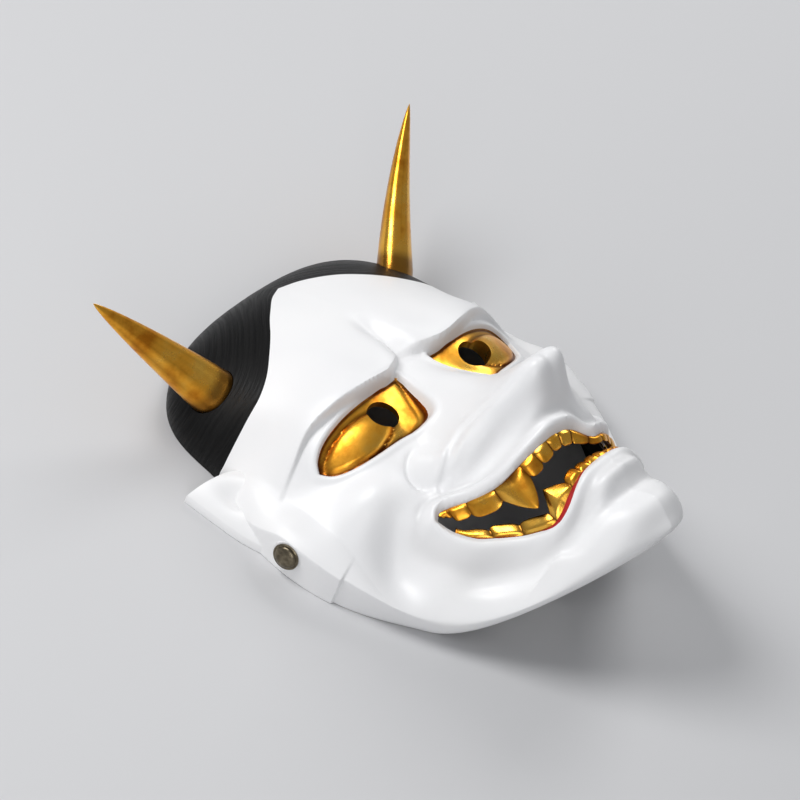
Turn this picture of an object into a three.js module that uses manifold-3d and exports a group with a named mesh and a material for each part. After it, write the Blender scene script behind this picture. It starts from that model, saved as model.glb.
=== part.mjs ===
// A hannya mask: one hollow cast face, two horns set in its hair cap, and a domed rivet in each side plate.
// Millimetres. +X is the wearer's left, +Y runs from the chin to the crown, +Z comes out of the face.
// The mask lies on its rim, so the rim's flat underside is the plane z = 0.
import * as THREE from "three";
import { mergeVertices } from "three/addons/utils/BufferGeometryUtils.js";
import Module from "manifold-3d";

const wasm = await Module();
wasm.setup();

// Driving sizes
const FACE_LENGTH = 214; // chin to crown, and the carving keeps its proportions to it
const WALL = 3.4; // thickness of the cast shell
const THINNEST = 2.8; // measured upwards, under the deepest carving
const RIM_WIDTH = 4.6; // the shell thickens to this at its rim
const PUPIL_DIAMETER = 13.6;
const HORN_LENGTH = 71; // from the hair cap to the tip
const HORN_WIDTH = 20.5; // foot, measured across the brow's slope
const HORN_THICKNESS = 15; // foot, measured up the brow
const HORN_BEND = 1.5; // bow of the horn's middle line
const HORN_FOOT = 4.5; // depth of the foot in its socket
const FIT_GAP = 0.3; // clearance between pieces that touch
const PLATE_RISE = 1.3; // how far the side plates stand out
const RIVET_CAP = 11.6; // diameter of the domed cap
const RIVET_RISE = 2.6; // height of the dome
const RIVET_BACK = 9; // diameter of the disc inside
const RIVET_BACK_THICKNESS = 1.2;
const RIVET_SHANK = 4;
const RIVET_GRIP = 3.6; // thickness of the plate between cap and disc
const TOOTH_GAP = 0.7; // groove between two teeth

// Places on the face, as drawn for a face 214 long
const DRAWN_LENGTH = 214;
const UNIT = FACE_LENGTH / DRAWN_LENGTH;
const MIDDLE_Y = 20; // the outline's angles are taken round this height
const HALF_WIDTH = 87.5;
const CROWN = 102;
const CHIN = 111;
const CHIN_RIM_RISE = 58; // how far the chin's rim stands above the ears' rim
const PUPIL = { x: 30.2, y: 30.2, splay: 13 };
const HORN_PLACE = { x: 60, y: 91 };
const HORN_AIM = new THREE.Vector3(0.585, 0.6, 0.545).normalize();
const PLATE_EDGE = -6; // where the raised side plate ends towards the chin
const RIVET_PLACE = { y: 18, z: 10 };
const EAR = { root: 24, tip: 66.5, inner: 72, crest: 16 };
const EYE = { inner: 10.5, outer: 62 };
const MOUTH_CORNER = 48.5;
const LIP_DROOP = 9.5; // the sneer: how much lower the upper lip hangs on the left than on the right

const degrees = THREE.MathUtils.radToDeg;
const radians = THREE.MathUtils.degToRad;
const clamp = THREE.MathUtils.clamp;
const step = (from, to, value) => {
  const t = clamp((value - from) / (to - from), 0, 1);
  return t * t * (3 - 2 * t);
};
const bell = (offset, width) => Math.exp(-((offset / width) ** 2));
const mound = (dx, wx, dy, wy) => Math.exp(-((dx / wx) ** 2) - (dy / wy) ** 2);

// A smooth curve through a few [place, value] pairs, level beyond its ends.
function curve(...pairs) {
  const last = pairs.length - 1;
  const slopes = pairs.map((_, i) => {
    const a = pairs[Math.max(i - 1, 0)];
    const b = pairs[Math.min(i + 1, last)];
    return (b[1] - a[1]) / (b[0] - a[0]);
  });
  return (place) => {
    if (place <= pairs[0][0]) return pairs[0][1];
    if (place >= pairs[last][0]) return pairs[last][1];
    let i = 0;
    while (place > pairs[i + 1][0]) i += 1;
    const h = pairs[i + 1][0] - pairs[i][0];
    const t = (place - pairs[i][0]) / h;
    return (
      (2 * t ** 3 - 3 * t ** 2 + 1) * pairs[i][1] +
      (t ** 3 - 2 * t ** 2 + t) * h * slopes[i] +
      (3 * t ** 2 - 2 * t ** 3) * pairs[i + 1][1] +
      (t ** 3 - t ** 2) * h * slopes[i + 1]
    );
  };
}

// The outline seen from the front: two rounded halves that meet at the ears, pinched at the temples.
function outlineRadius(angle) {
  const up = Math.sin(angle) > 0;
  const reach = up ? CROWN : CHIN;
  const power = up ? 2.9 : 1.7;
  const across = Math.abs(Math.cos(angle)) / HALF_WIDTH;
  const along = Math.abs(Math.sin(angle)) / reach;
  const pinch = 10 * bell(heading(angle) - 31, 12);
  return (across ** power + along ** power) ** (-1 / power) - pinch;
}
// -90 at the chin, 0 at the ears, 90 at the crown, on either side
const heading = (angle) => degrees(Math.asin(clamp(Math.sin(angle), -1, 1)));
const rimHeight = (head) => CHIN_RIM_RISE * step(-44, -94, head);
const wallHeight = curve(
  [-90, 17], [-65, 15], [-42, 12], [-18, 15], [2, 16], [12, 9], [24, 6], [38, 5], [90, 5],
);
const wallTuck = curve([-90, 9], [-65, 9], [-42, 6], [-20, 1], [0, 0.3], [90, 1]);
const flankPower = curve([-90, 9], [-70, 10], [-50, 9], [-30, 6], [-10, 4], [12, 4], [35, 5], [90, 5.5]);
const flankRoot = curve([-90, 2.2], [-45, 2.2], [-15, 1.4], [12, 1.25], [40, 1.9], [90, 2.1]);

// Cross-sections of the dome without its features: heights 15 mm apart, from the middle outwards
const section = (...heights) => curve(...heights.map((z, i) => [15 * i, z]));
const sections = [
  [-92, section(76, 71, 56, 36, 20, 10)],
  [-78, section(78, 75, 60, 38, 20, 10)],
  [-64, section(78, 75, 59, 36, 20, 10)],
  [-48, section(77, 73, 55, 36, 22, 12)],
  [-30, section(73, 71, 61, 42, 26, 15)],
  [-10, section(60, 57, 49, 41, 33, 23)],
  [8, section(50, 49, 46, 42, 37, 27)],
  [25, section(48, 47, 48.5, 44, 36, 27)],
  [42, section(48, 48, 48.5, 46, 41, 32)],
  [60, section(50, 50, 48.5, 44, 38, 29)],
  [85, section(46, 45.5, 43, 38.5, 32, 23)],
  [122, section(36, 35, 33, 30, 25, 18)],
];
const domeHeight = (across, y) => curve(...sections.map(([at, heights]) => [at, heights(across)]))(y);

const browLine = curve([0, 48], [9, 43.5], [20, 40.5], [30, 41.5], [46, 44], [58, 44.5], [68, 40], [80, 34]);
const browRise = curve([0, 1], [8, 5], [20, 7], [45, 6.5], [58, 5], [68, 2.5], [78, 0]);
const eyeTop = curve([10.5, 40], [18, 39.6], [38, 40], [47, 39.6], [55, 38], [60, 34.8], [62, 31]);
const eyeBottom = curve(
  [10.5, 36], [13, 26], [16, 19], [20, 16.3], [34, 17.8], [47, 20], [54.5, 22.8], [59.5, 26.6], [62, 31],
);
const lipTop = curve(
  [0, -33.4], [4, -32.6], [9, -31.6], [18, -30.8], [25, -30], [30, -29.2],
  [34, -26.6], [38, -22.4], [42, -18.4], [46, -16.4], [48.5, -18.5],
);
const lipBottom = curve(
  [0, -50], [12, -50.3], [18, -52], [25, -55.2], [28.5, -55], [32, -50.8],
  [36, -45.6], [40, -40.6], [44.5, -34.2], [47.5, -26], [48.5, -18.5],
);
const upperLip = (x) =>
  lipTop(Math.abs(x)) - LIP_DROOP * step(-1, 10, x) * step(MOUTH_CORNER, 32, x);
const lowerLip = (x) => lipBottom(Math.abs(x));

// The outline between a top and a bottom curve, its points closer together towards both ends
function loopBetween(first, last, top, bottom, steps) {
  const places = Array.from({ length: steps + 1 }, (_, i) => {
    const swing = Math.sin(Math.PI * (i / steps - 0.5));
    return (first + last) / 2 + ((last - first) / 2) * swing;
  });
  const lower = places.slice(1, -1).map((x) => [x, bottom(x)]);
  const upper = places.slice(1, -1).map((x) => [x, top(x)]).reverse();
  const middle = (x) => [x, (top(x) + bottom(x)) / 2];
  return [middle(first), ...lower, middle(last), ...upper];
}

// How deep a place lies within an outline, and below zero how far outside it is
function depthInside(loop, isInside, x, y) {
  let nearest = Infinity;
  loop.forEach(([ax, ay], i) => {
    const [bx, by] = loop[(i + 1) % loop.length];
    const [dx, dy] = [bx - ax, by - ay];
    const t = clamp(((x - ax) * dx + (y - ay) * dy) / (dx * dx + dy * dy), 0, 1);
    nearest = Math.min(nearest, Math.hypot(x - ax - t * dx, y - ay - t * dy));
  });
  return isInside ? nearest : -nearest;
}
const eyeLoop = loopBetween(EYE.inner, EYE.outer, eyeTop, eyeBottom, 24);
function insideEye(across, y) {
  const within = across > EYE.inner && across < EYE.outer && y < eyeTop(across) && y > eyeBottom(across);
  return depthInside(eyeLoop, within, across, y);
}
const mouthLoop = loopBetween(-MOUTH_CORNER, MOUTH_CORNER, upperLip, lowerLip, 48);
function insideMouth(x, y) {
  const within = Math.abs(x) < MOUTH_CORNER && y < upperLip(x) && y > lowerLip(x);
  return depthInside(mouthLoop, within, x, y);
}

const noseHeight = curve(
  [-40, 0], [-34, 3], [-27, 12], [-20, 26], [-13, 38], [-7, 40.5], [-1, 32.5],
  [5, 24], [11, 18], [17, 13.5], [25, 8.5], [33, 4], [42, 0],
);
const noseHalf = curve([-20, 36], [-7, 38], [5, 32], [17, 27], [31, 18], [42, 12]);
const noseShape = curve(
  [0, 1], [0.12, 0.988], [0.26, 0.9], [0.5, 0.6], [0.72, 0.34], [0.88, 0.11], [1, 0],
);

function carving(x, y, soft) {
  const across = Math.abs(x);
  const blur = soft ? 3 : 2;
  const relief = soft ? 0.4 : 1; // the inside follows the features only loosely
  let rise = 0;
  // brow ridges that overhang the eyes, parted by a furrow
  const aboveBrow = y - browLine(across);
  const ridge = step(-1.5 * blur, 1.5 * blur, aboveBrow) * bell(Math.max(aboveBrow, 0), 15);
  rise += relief * browRise(across) * ridge;
  rise -= 3.5 * bell(x, 5) * step(40, 50, y) * step(78, 60, y);
  // eye sockets sunk below the brow
  const lid = insideEye(across, y);
  rise -= 2.2 * step(-1.2 * blur, 0.8 * blur, lid);
  if (!soft) {
    const ball = Math.hypot((across - 44) / 16, (y - 28.2) / 8);
    rise += 3.6 * Math.sqrt(Math.max(1 - ball * ball, 0)) * step(0, 2.5, lid);
  }
  // nose, with flared wings and hollow nostrils
  const noseShare = Math.min(across / noseHalf(y), 1);
  rise += noseHeight(y) * noseShape(noseShare) * (1 - 0.8 * step(-2, 3, lid));
  rise += relief * 6 * mound(across - 33.5, 5.5, y + 1, 8.5);
  rise -= relief * 2 * mound(across - 42, 4, y + 1, 9);
  rise += relief * 5 * mound(across - 8, 7.5, y + 12, 8);
  rise -= 9 * mound(across - 24, 9.5, y + 17, 5.5);
  // cheekbones, hollow cheeks and the fold from the nose to the mouth
  rise += 5 * mound(across - 60, 13, y - 6, 11);
  rise -= 8 * mound(across - 63, 9, y + 17, 13);
  rise += 3 * mound(across - 53, 4, y + 16, 10);
  // lips
  const mouth = insideMouth(x, y);
  rise += 3 * bell(mouth + 3.5, 3.5) * step(-60, -40, y);
  // groove under the lower lip, the lip's own roll, a dip below it and the knob of the chin
  rise -= 4 * bell(mouth + 10, 4.5) * step(-30, -46, y) * step(8, 22, across) * step(62, 46, across);
  rise += 6 * mound(across, 22, y + 59, 5.5);
  rise -= 3 * mound(across, 24, y + 67.5, 3.5);
  rise += 4 * mound(across, 22, y + 80, 7);
  return rise;
}

// The face's outer surface over a disc: share 0 is the middle, 1 the edge of the rim.
const WALL_SHARE = 0.93;
function facePoint(share, angle, soft = false) {
  const head = heading(angle);
  const t = Math.min(share / WALL_SHARE, 1);
  const s = t < 0.6 ? t * 1.25 : 0.75 + 0.25 * Math.sin(((t - 0.6) / 0.4) * (Math.PI / 2));
  const down = clamp((share - WALL_SHARE) / (1 - WALL_SHARE), 0, 1);
  const sideY = MIDDLE_Y + HALF_WIDTH * Math.sin(angle);
  const plate = PLATE_RISE * step(PLATE_EDGE - 1.5, PLATE_EDGE + 1.5, sideY) * step(28, 20, head);
  const radius = outlineRadius(angle) * s - wallTuck(head) * down * down + plate * step(0.88, 0.96, s);
  const x = radius * Math.cos(angle);
  const y = MIDDLE_Y + radius * Math.sin(angle);
  const foot = rimHeight(head) + wallHeight(head);
  const across = Math.abs(x);
  const dome = domeHeight(across, y);
  const flank = (1 - Math.min(s ** flankPower(head), 1)) ** (1 / flankRoot(head));
  // near the rim the dome always stands at least a little above the wall
  const lift = Math.max(dome - foot, 2 - 45 * (1 - s));
  let z = foot + lift * flank + carving(x, y, soft) * step(0, 0.45, flank);
  if (share >= WALL_SHARE) z = foot - wallHeight(head) * down;
  return new THREE.Vector3(x, y, z).multiplyScalar(UNIT);
}

// A square sheet bent to the disc, so that no row of cells meets in a point
function squarePoint(u, v, soft) {
  const a = u * Math.sqrt(1 - (v * v) / 2);
  const b = v * Math.sqrt(1 - (u * u) / 2);
  return facePoint(Math.min(Math.hypot(a, b), 1), Math.atan2(b, a), soft);
}

function outwardNormal(u, v) {
  const e = 0.03;
  const east = squarePoint(Math.min(u + e, 1), v, true);
  const west = squarePoint(Math.max(u - e, -1), v, true);
  const north = squarePoint(u, Math.min(v + e, 1), true);
  const south = squarePoint(u, Math.max(v - e, -1), true);
  return east.sub(west).cross(north.sub(south)).normalize();
}

// Triangles of a sheet of points, with a fan from its edge to one vertex below it
function closedSheet(columns, rows, pointAt, below) {
  const positions = [];
  const faces = [];
  const index = (i, j) => j * (columns + 1) + i;
  for (let j = 0; j <= rows; j += 1) {
    for (let i = 0; i <= columns; i += 1) positions.push(...pointAt(i / columns, j / rows));
  }
  for (let j = 0; j < rows; j += 1) {
    for (let i = 0; i < columns; i += 1) {
      const [a, b, c, d] = [index(i, j), index(i + 1, j), index(i + 1, j + 1), index(i, j + 1)];
      const flip = (i < columns / 2) === (j < rows / 2);
      faces.push(...(flip ? [a, b, c, a, c, d] : [a, b, d, b, c, d]));
    }
  }
  let edge = [];
  for (let i = 0; i < columns; i += 1) edge.push(index(i, 0));
  for (let j = 0; j < rows; j += 1) edge.push(index(columns, j));
  for (let i = columns; i > 0; i -= 1) edge.push(index(i, rows));
  for (let j = rows; j > 0; j -= 1) edge.push(index(0, j));
  if (below.skirt) {
    const lower = edge.map((n) => {
      const at = positions.length / 3;
      positions.push(positions[3 * n], positions[3 * n + 1], positions[3 * n + 2] - below.skirt);
      return at;
    });
    edge.forEach((n, i) => {
      const next = (i + 1) % edge.length;
      faces.push(edge[next], n, lower[i], edge[next], lower[i], lower[next]);
    });
    edge = lower;
  }
  const tip = positions.length / 3;
  positions.push(...below.tip);
  edge.forEach((n, i) => faces.push(edge[(i + 1) % edge.length], n, tip));
  return solidFrom(positions, faces);
}

function solidFrom(positions, faces) {
  return new wasm.Manifold(
    new wasm.Mesh({
      numProp: 3,
      vertProperties: new Float32Array(positions),
      triVerts: new Uint32Array(faces),
    }),
  );
}

// A three.js geometry, moved by a matrix, as a solid
function solidOf(geometry, matrix = new THREE.Matrix4()) {
  const bare = geometry.index ? geometry.toNonIndexed() : geometry.clone();
  bare.deleteAttribute("normal");
  bare.deleteAttribute("uv");
  bare.applyMatrix4(matrix);
  const merged = mergeVertices(bare, 1e-4);
  return solidFrom(merged.attributes.position.array, merged.index.array);
}

// A frame at a point, its Z along a direction and its X as near as can be to another
function frameAt(origin, direction, sideways = new THREE.Vector3(1, 0, 0)) {
  const zAxis = direction.clone().normalize();
  const xAxis = sideways.clone().addScaledVector(zAxis, -sideways.dot(zAxis)).normalize();
  const yAxis = zAxis.clone().cross(xAxis);
  return new THREE.Matrix4().makeBasis(xAxis, yAxis, zAxis).setPosition(origin);
}

// Denser lines over the features than over the plain crown
const spread = (t) => {
  const w = 2 * t - 1;
  return w * (0.86 + 0.14 * w * w);
};

const COLUMNS = 36;
const ROWS = 40;
const faceSolid = closedSheet(COLUMNS, ROWS, (i, j) => squarePoint(spread(i), spread(j)), {
  tip: [0, MIDDLE_Y * UNIT, 0],
});

const CAVITY_DEPTH = 12;
const hollow = closedSheet(
  18,
  20,
  (i, j) => {
    const [u, v] = [spread(i), spread(j)];
    const point = squarePoint(u, v, true);
    const edge = Math.max(Math.abs(u), Math.abs(v));
    const inward = outwardNormal(u, v).multiplyScalar(-WALL);
    if (edge > 0.999) {
      const out = new THREE.Vector3(point.x, point.y - MIDDLE_Y * UNIT, 0).normalize();
      inward.copy(out.multiplyScalar(-RIM_WIDTH));
    }
    point.add(inward);
    if (edge < 0.9) point.z = Math.min(point.z, lowestNear(point.x, point.y) - THINNEST);
    return point;
  },
  { skirt: CAVITY_DEPTH, tip: [0, MIDDLE_Y * UNIT, -CAVITY_DEPTH] },
);

// The height of the outer face over a point, found by walking out along its angle
function faceHeight(x, y) {
  const angle = Math.atan2(y / UNIT - MIDDLE_Y, x / UNIT);
  const wanted = Math.hypot(x, y - MIDDLE_Y * UNIT);
  let [low, high] = [0, WALL_SHARE];
  for (let i = 0; i < 40; i += 1) {
    const middle = (low + high) / 2;
    const p = facePoint(middle, angle);
    if (Math.hypot(p.x, p.y - MIDDLE_Y * UNIT) < wanted) low = middle;
    else high = middle;
  }
  return facePoint(low, angle).z;
}
// The lowest spot of the carving within the reach of one cell of the hollow
function lowestNear(x, y) {
  const reach = 3.5 * UNIT;
  const around = [[0, 0], [reach, 0], [-reach, 0], [0, reach], [0, -reach]];
  return Math.min(...around.map(([dx, dy]) => faceHeight(x + dx, y + dy)));
}

// Horns: an oval section that tapers along a slightly bent line
const HORN_SIDES = 16;
const HORN_STEPS = 9;
function hornSolid(side, grow) {
  const x = side * HORN_PLACE.x * UNIT;
  const y = HORN_PLACE.y * UNIT;
  const foot = new THREE.Vector3(x, y, faceHeight(x, y));
  const aim = HORN_AIM.clone().multiply(new THREE.Vector3(side, 1, 1));
  const across = new THREE.Vector3(side * 0.71, 0, -0.7);
  const frame = frameAt(foot, aim, across);
  const positions = [];
  const faces = [];
  const start = -HORN_FOOT - (grow > 0 ? CAVITY_DEPTH : 0);
  for (let j = 0; j <= HORN_STEPS; j += 1) {
    const along = start + ((HORN_LENGTH - start) * j) / (HORN_STEPS + 1);
    const share = clamp(along / HORN_LENGTH, 0, 1);
    const taper = (1 - share) ** 0.72;
    const bend = HORN_BEND * 4 * share * (1 - share);
    for (let i = 0; i < HORN_SIDES; i += 1) {
      const a = (2 * Math.PI * i) / HORN_SIDES;
      const p = new THREE.Vector3(
        (HORN_WIDTH / 2) * taper * Math.cos(a) + grow * Math.cos(a),
        (HORN_THICKNESS / 2) * taper * Math.sin(a) + grow * Math.sin(a) + bend * side,
        along,
      ).applyMatrix4(frame);
      positions.push(p.x, p.y, p.z);
    }
  }
  const ring = (j, i) => j * HORN_SIDES + (i % HORN_SIDES);
  for (let j = 0; j < HORN_STEPS; j += 1) {
    for (let i = 0; i < HORN_SIDES; i += 1) {
      faces.push(ring(j, i), ring(j, i + 1), ring(j + 1, i + 1));
      faces.push(ring(j, i), ring(j + 1, i + 1), ring(j + 1, i));
    }
  }
  const base = positions.length / 3;
  positions.push(...new THREE.Vector3(0, 0, start).applyMatrix4(frame));
  positions.push(...new THREE.Vector3(0, 0, HORN_LENGTH + grow).applyMatrix4(frame));
  for (let i = 0; i < HORN_SIDES; i += 1) {
    faces.push(ring(0, i + 1), ring(0, i), base);
    faces.push(ring(HORN_STEPS, i), ring(HORN_STEPS, i + 1), base + 1);
  }
  return solidFrom(positions, faces);
}

const pupilCut = (side) => {
  const drill = new THREE.CylinderGeometry(PUPIL_DIAMETER / 2, PUPIL_DIAMETER / 2, 40, 28);
  drill.rotateX(Math.PI / 2);
  drill.rotateY(radians(side * PUPIL.splay));
  const x = side * PUPIL.x * UNIT;
  const y = PUPIL.y * UNIT;
  return solidOf(drill, new THREE.Matrix4().makeTranslation(x, y, faceHeight(x, y)));
};

// The opening between the lips, cut straight through from a height inside the hollow
const MOUTH_CUT = { from: 20, depth: 92 };
function mouthCut() {
  const outline = new THREE.Shape(mouthLoop.map(([x, y]) => new THREE.Vector2(x * UNIT, y * UNIT)));
  const block = new THREE.ExtrudeGeometry(outline, { depth: MOUTH_CUT.depth * UNIT, bevelEnabled: false });
  return solidOf(block, new THREE.Matrix4().makeTranslation(0, 0, MOUTH_CUT.from * UNIT));
}

// An ear: a leaf of the wall's thickness that rises from the table to a crest beside the temple
function earSolid(side) {
  const [columns, rows] = [7, 9];
  const top = [];
  const under = [];
  for (let j = 0; j <= rows; j += 1) {
    for (let i = 0; i <= columns; i += 1) {
      const v = i / columns;
      const u = j / rows;
      const y = EAR.root + (EAR.tip - 7.5 * v + 3 * v * (1 - v) - EAR.root) * u;
      const edge = earEdge(y);
      const x = edge + (EAR.inner - edge) * v;
      const scoop = 4 * mound(u - 0.66, 0.2, v - 0.5, 0.22);
      const z = WALL + (EAR.crest - WALL) * Math.sin((v * Math.PI) / 2) ** 0.9 - scoop - 4 * v * u ** 6;
      top.push([side * x * UNIT, y * UNIT, z * UNIT]);
      under.push([side * x * UNIT, y * UNIT, Math.max(z * UNIT - WALL, 0)]);
    }
  }
  return slab(top, under, columns, rows, side < 0);
}
const earEdge = curve([24, 86.5], [38, 91], [52, 93], [66.5, 94.5]);

// A closed plate between two equal sheets of points
function slab(top, under, columns, rows, turned) {
  const count = top.length;
  const faces = [];
  const face = (...ring) => faces.push(...(turned ? ring.reverse() : ring));
  const at = (i, j) => j * (columns + 1) + i;
  for (let j = 0; j < rows; j += 1) {
    for (let i = 0; i < columns; i += 1) {
      const [a, b, c, d] = [at(i, j), at(i + 1, j), at(i + 1, j + 1), at(i, j + 1)];
      face(a, c, b);
      face(a, d, c);
      face(count + a, count + b, count + c);
      face(count + a, count + c, count + d);
    }
  }
  const ring = [];
  for (let i = 0; i < columns; i += 1) ring.push(at(i, 0));
  for (let j = 0; j < rows; j += 1) ring.push(at(columns, j));
  for (let i = columns; i > 0; i -= 1) ring.push(at(i, rows));
  for (let j = rows; j > 0; j -= 1) ring.push(at(0, j));
  ring.forEach((n, i) => {
    const next = ring[(i + 1) % ring.length];
    face(n, next, count + next);
    face(n, count + next, count + n);
  });
  return solidFrom([...top, ...under].flat(), faces);
}

// Teeth: [from the middle, to, length, pointed] for one side of the upper and the lower row
const UPPER_TEETH = [
  [0.4, 5.8, 5.6, false],
  [5.8, 11.6, 5.6, false],
  [11.6, 17.2, 5.8, false],
  [17.2, 22.6, 6.2, false],
  [22.6, 31.6, 16, true],
  [31.6, 37.2, 7, false],
  [37.2, 42.4, 6, false],
];
const LOWER_TEETH = [
  [0.4, 5.6, 4.6, false],
  [5.6, 11.2, 4.6, false],
  [11.2, 17.4, 5, false],
  [17.4, 27.6, 11, true],
  [27.6, 34, 4.4, false],
  [34, 40.6, 4, false],
];
const TOOTH_ROOT = 5;
const TOOTH_DEPTH = 4.6;
const TOOTH_SET_BACK = 1.2; // behind the lip's outer surface
// On the side where the lip hangs lower, the teeth are shorter by as much as the mouth is narrower.
const narrowing = (x) => (upperLip(x) - lowerLip(x)) / (lipTop(Math.abs(x)) - lowerLip(x));
function toothSolid(side, lip, [from, to, drawnLength, pointed], down) {
  const middle = (from + to) / 2;
  const length = drawnLength * narrowing(side * middle);
  const lipPoint = (a) => {
    const y = (lip(side * a) + down * 1.5) * UNIT;
    return new THREE.Vector3(side * a * UNIT, y, faceHeight(side * a * UNIT, y));
  };
  const along = lipPoint(to).sub(lipPoint(from)).normalize().multiplyScalar(side);
  const out = new THREE.Vector3(side * 0.012 * middle, 0, 1).normalize();
  const frame = frameAt(lipPoint(middle).addScaledVector(out, -TOOTH_SET_BACK - TOOTH_DEPTH), out, along);
  const half = ((to - from - TOOTH_GAP) * UNIT) / 2;
  const tip = -down * length * UNIT;
  const root = down * TOOTH_ROOT;
  const shoulder = tip * (pointed ? 0.3 : 0.6);
  const rounding = pointed ? [[0.62, 0.7], [0, 1], [-0.62, 0.7]] : [[0.7, 1], [-0.7, 1]];
  const outline = [
    [half, root],
    [half, shoulder],
    ...rounding.map(([share, reach]) => [half * share, tip * reach]),
    [-half, shoulder],
    [-half, root],
  ];
  const shape = new THREE.Shape(outline.map(([x, y]) => new THREE.Vector2(x, y)));
  return solidOf(new THREE.ExtrudeGeometry(shape, { depth: TOOTH_DEPTH, bevelEnabled: false }), frame);
}

// Rivets: a domed cap outside, a shank through the plate and a disc inside
function rivetFrame(side) {
  const y = RIVET_PLACE.y * UNIT;
  const out = new THREE.Vector3(side * 0.97, -0.12, 0.1).normalize();
  const x = (HALF_WIDTH + 0.4) * UNIT + PLATE_RISE;
  return frameAt(new THREE.Vector3(side * x, y, RIVET_PLACE.z * UNIT), out, new THREE.Vector3(0, 1, 0));
}
function turned(profile, sides, matrix) {
  const points = profile.map(([radius, height]) => new THREE.Vector2(radius, height));
  const geometry = new THREE.LatheGeometry(points, sides).rotateX(Math.PI / 2);
  return solidOf(geometry, matrix);
}
function rivetSolid(side) {
  const back = -RIVET_GRIP - FIT_GAP;
  const cap = RIVET_CAP / 2;
  const edge = FIT_GAP + 0.7;
  const dome = [0.25, 0.5, 0.75].map((t) => {
    const a = (t * Math.PI) / 2;
    return [cap * Math.cos(a), edge + (RIVET_RISE - 0.7) * Math.sin(a)];
  });
  const profile = [
    [0, back - RIVET_BACK_THICKNESS],
    [RIVET_BACK / 2, back - RIVET_BACK_THICKNESS],
    [RIVET_BACK / 2, back],
    [RIVET_SHANK / 2, back],
    [RIVET_SHANK / 2, FIT_GAP],
    [cap, FIT_GAP],
    [cap, edge],
    ...dome,
    [0, FIT_GAP + RIVET_RISE],
  ];
  return turned(profile, 16, rivetFrame(side));
}
const disc = (radius, low, high, side) =>
  turned([[0, low], [radius, low], [radius, high], [0, high]], 24, rivetFrame(side));

let outside = faceSolid;
for (const side of [-1, 1]) {
  outside = outside.add(earSolid(side)).add(disc(RIVET_CAP / 2 + 0.6, -RIVET_GRIP, 0, side));
}
let shell = outside.subtract(hollow);
for (const side of [-1, 1]) {
  shell = shell.subtract(pupilCut(side));
}
shell = shell.subtract(mouthCut());
for (const side of [-1, 1]) {
  for (const tooth of UPPER_TEETH) {
    shell = shell.add(toothSolid(side, upperLip, tooth, 1).intersect(faceSolid));
  }
  for (const tooth of LOWER_TEETH) {
    shell = shell.add(toothSolid(side, lowerLip, tooth, -1).intersect(faceSolid));
  }
  shell = shell.subtract(hornSolid(side, FIT_GAP));
  shell = shell.subtract(disc(RIVET_BACK / 2 + 1, -RIVET_GRIP - 9, -RIVET_GRIP, side));
  shell = shell.subtract(disc(RIVET_SHANK / 2 + FIT_GAP, -RIVET_GRIP - 1, 1, side));
}

const white = new THREE.MeshStandardMaterial({ color: 0xf2f0ef, roughness: 0.45, metalness: 0 });
const gold = new THREE.MeshStandardMaterial({ color: 0xd9971e, roughness: 0.3, metalness: 0.9 });

function meshOf(solid, name, material) {
  const made = solid.getMesh();
  const geometry = new THREE.BufferGeometry();
  geometry.setAttribute("position", new THREE.BufferAttribute(made.vertProperties, 3));
  geometry.setIndex(new THREE.BufferAttribute(made.triVerts, 1));
  geometry.computeVertexNormals();
  const mesh = new THREE.Mesh(geometry, material);
  mesh.name = name;
  return mesh;
}

const mask = new THREE.Group();
mask.add(meshOf(shell, "mask_shell", white));
mask.add(meshOf(hornSolid(1, 0), "horn_left", gold.clone()));
mask.add(meshOf(hornSolid(-1, 0), "horn_right", gold.clone()));
const bronze = new THREE.MeshStandardMaterial({ color: 0x4a4438, roughness: 0.35, metalness: 0.9 });
mask.add(meshOf(rivetSolid(1), "rivet_left", bronze.clone()));
mask.add(meshOf(rivetSolid(-1), "rivet_right", bronze.clone()));

// The origin goes under the middle of the whole object
const box = new THREE.Box3().setFromObject(mask);
mask.position.set(0, -(box.min.y + box.max.y) / 2, -box.min.z);
export default mask;
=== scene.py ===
import math

import bmesh
import bpy
import numpy as np
from mathutils import Matrix, Vector


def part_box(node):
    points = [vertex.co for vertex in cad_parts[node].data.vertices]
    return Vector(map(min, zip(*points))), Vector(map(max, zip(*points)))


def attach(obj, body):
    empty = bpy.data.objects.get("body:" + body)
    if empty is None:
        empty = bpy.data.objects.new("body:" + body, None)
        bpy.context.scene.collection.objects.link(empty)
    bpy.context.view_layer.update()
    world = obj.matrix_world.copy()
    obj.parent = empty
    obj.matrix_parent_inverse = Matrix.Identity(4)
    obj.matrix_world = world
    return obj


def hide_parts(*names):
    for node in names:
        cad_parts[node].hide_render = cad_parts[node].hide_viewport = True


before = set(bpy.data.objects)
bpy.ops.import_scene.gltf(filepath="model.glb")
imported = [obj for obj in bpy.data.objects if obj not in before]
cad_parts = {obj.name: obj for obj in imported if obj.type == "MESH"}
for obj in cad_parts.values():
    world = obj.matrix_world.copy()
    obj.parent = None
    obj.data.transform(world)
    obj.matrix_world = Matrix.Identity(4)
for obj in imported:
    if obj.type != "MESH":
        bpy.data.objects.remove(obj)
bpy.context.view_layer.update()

# Sizes, in millimetres, and angles in degrees
MIDDLE_Y = 20.0  # where the centre of the face's sheet lies along Y
HALF_WIDTH = 87.5
CROWN = 102.0
CHIN = 111.0
CHIN_RIM_RISE = 58.0  # how far the rim rises off the floor towards the chin
WALL = 3.4
RIM_WIDTH = 4.6
THINNEST = 2.4  # the least wall of the face, measured upwards
TOOL_REACH = 12.0  # how far the tools of the hollow and the sockets are carried on below
WALL_SHARE = 0.93  # the share of the sheet that is face; the rest is the upright wall round it
PLATE_RISE = 1.3
PLATE_EDGE = -6.0
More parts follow.
